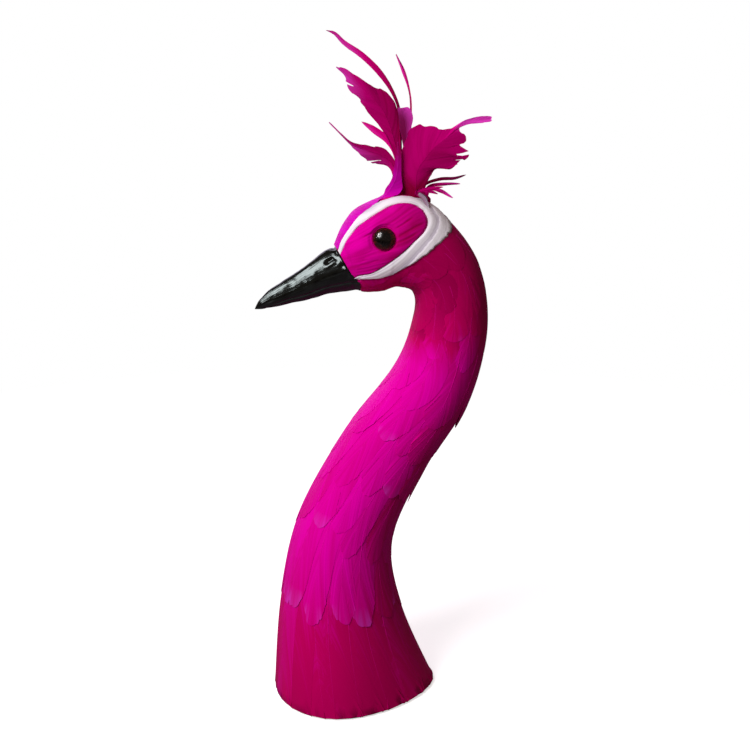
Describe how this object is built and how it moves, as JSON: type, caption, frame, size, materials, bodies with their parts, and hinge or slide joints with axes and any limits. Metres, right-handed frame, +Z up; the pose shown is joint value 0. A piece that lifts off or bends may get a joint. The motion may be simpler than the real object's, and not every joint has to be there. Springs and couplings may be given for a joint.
{
  "type": "peacock head ornament",
  "caption": "Curved peacock neck and head covered in magenta dyed feathers, with a glossy black beak, glass eyes, white face bands and a feather crest, standing on its flat cut base.",
  "frame": {"origin": "middle of the flat underside of the foot", "axes": "+Z up, the beak points along -X, the bird's left side faces -Y"},
  "size_m": [0.1377, 0.0952, 0.4023],
  "materials": {
    "neck_feather": "magenta dyed goose feather, glued on in overlapping rings",
    "face_feather": "bright pink dyed goose feather, trimmed",
    "white_feather": "white goose feather, trimmed",
    "crest_feather": "crimson dyed goose feather, stripped and split",
    "black_lacquer": "hand-painted gloss black lacquer over a cast beak",
    "eye_glass": "dark brown glass eye, polished"
  },
  "bodies": {
    "root": {"neck_and_head": "neck_feather", "beak": "black_lacquer", "eye_left": "eye_glass", "eye_right": "eye_glass", "eye_patch_left": "face_feather", "eye_patch_right": "face_feather", "white_band_left": "white_feather", "white_band_right": "white_feather", "crown_feather": "face_feather", "crest_tall_feather": "crest_feather", "crest_low_feather": "crest_feather", "crest_fan_feather": "crest_feather", "crest_ribbon_feather": "crest_feather", "crest_whisker_feather": "crest_feather", "crest_lobe_feather": "crest_feather", "crest_lance_feather": "crest_feather", "crest_upper_wisp": "crest_feather", "crest_middle_wisp": "crest_feather", "crest_lower_wisp": "crest_feather"}
  },
  "joints": []
}
